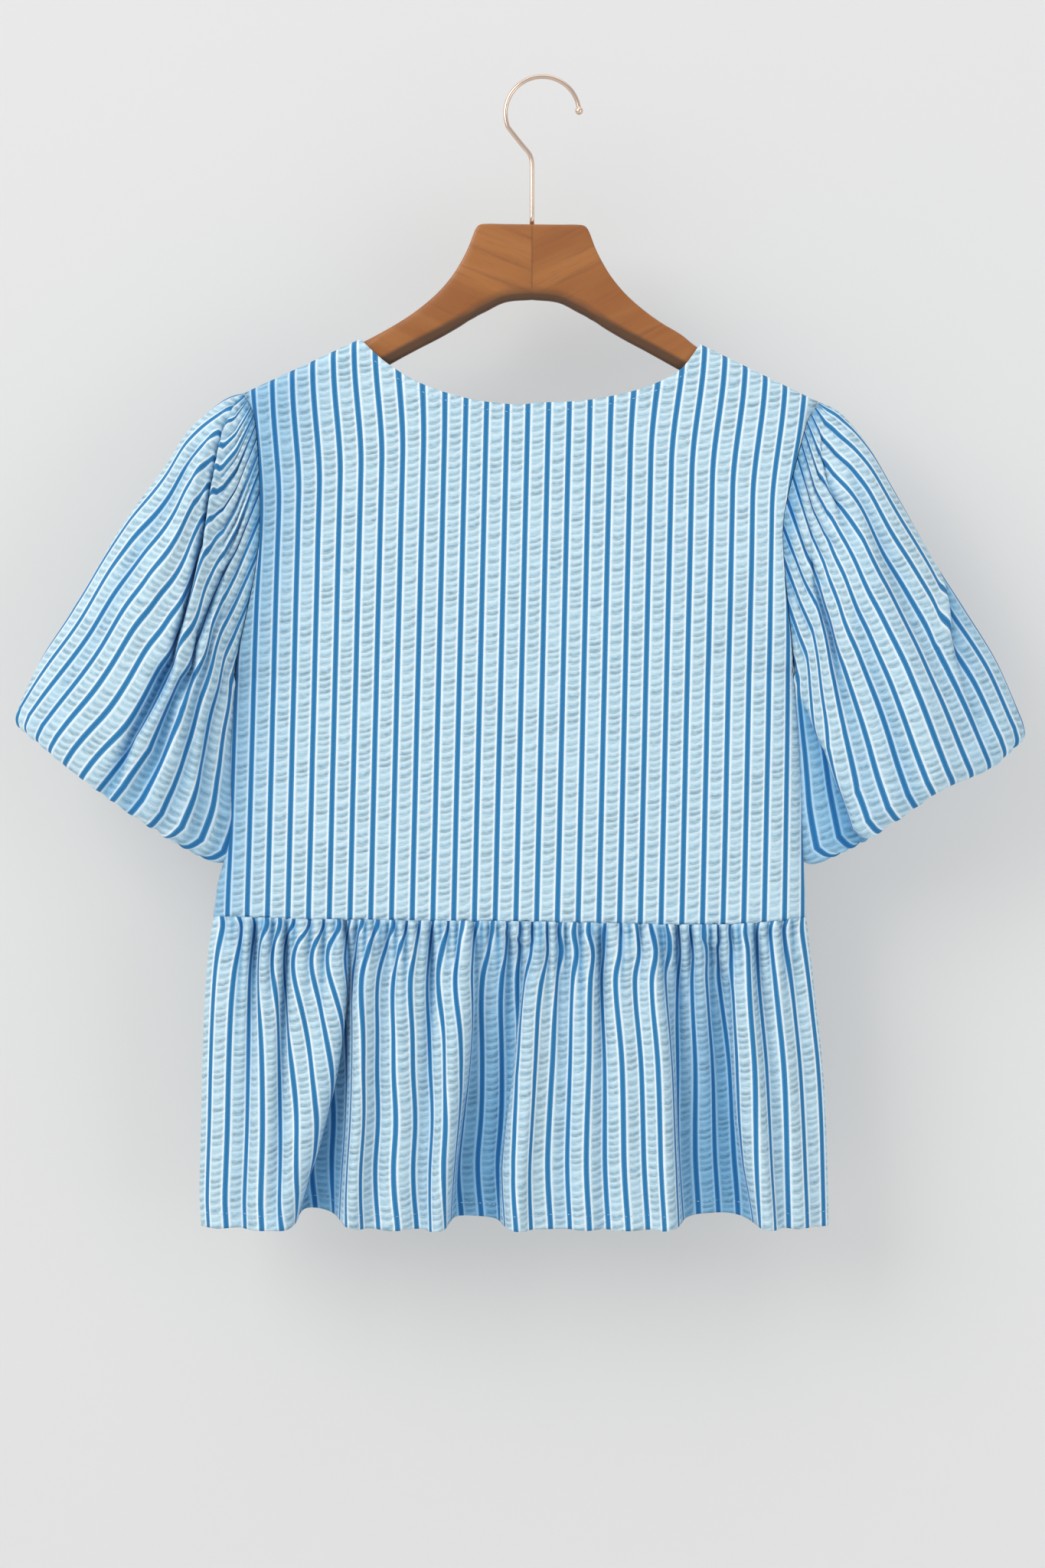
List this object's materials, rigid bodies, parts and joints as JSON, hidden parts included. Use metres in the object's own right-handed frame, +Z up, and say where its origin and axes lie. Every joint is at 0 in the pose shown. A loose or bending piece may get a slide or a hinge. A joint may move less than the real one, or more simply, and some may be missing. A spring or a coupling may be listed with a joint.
{
  "type": "babydoll blouse on a clothes hanger",
  "caption": "Striped seersucker blouse with puff sleeves and a gathered peplum, hung by its shoulders on a wooden hanger with a wire hook.",
  "frame": {"origin": "inside of the hook's crown, where the hook rests on a rail", "axes": "+Z up, +X across the shoulders to the right as the back is seen, -Y toward a viewer of the garment's back"},
  "size_m": [0.7001, 0.078, 0.8018],
  "materials": {
    "striped_cotton": "puckered cotton seersucker, matt, pale blue and white with blue stripes",
    "hanger_wood": "honey-brown wood, satin lacquer",
    "hook_metal": "polished steel wire, warm champagne plating"
  },
  "bodies": {
    "root": {"back_bodice": "striped_cotton", "front_bodice": "striped_cotton", "left_sleeve": "striped_cotton", "right_sleeve": "striped_cotton", "left_cuff": "striped_cotton", "right_cuff": "striped_cotton", "back_peplum": "striped_cotton", "front_peplum": "striped_cotton", "hanger_left": "hanger_wood", "hanger_right": "hanger_wood", "hook": "hook_metal"}
  },
  "joints": []
}
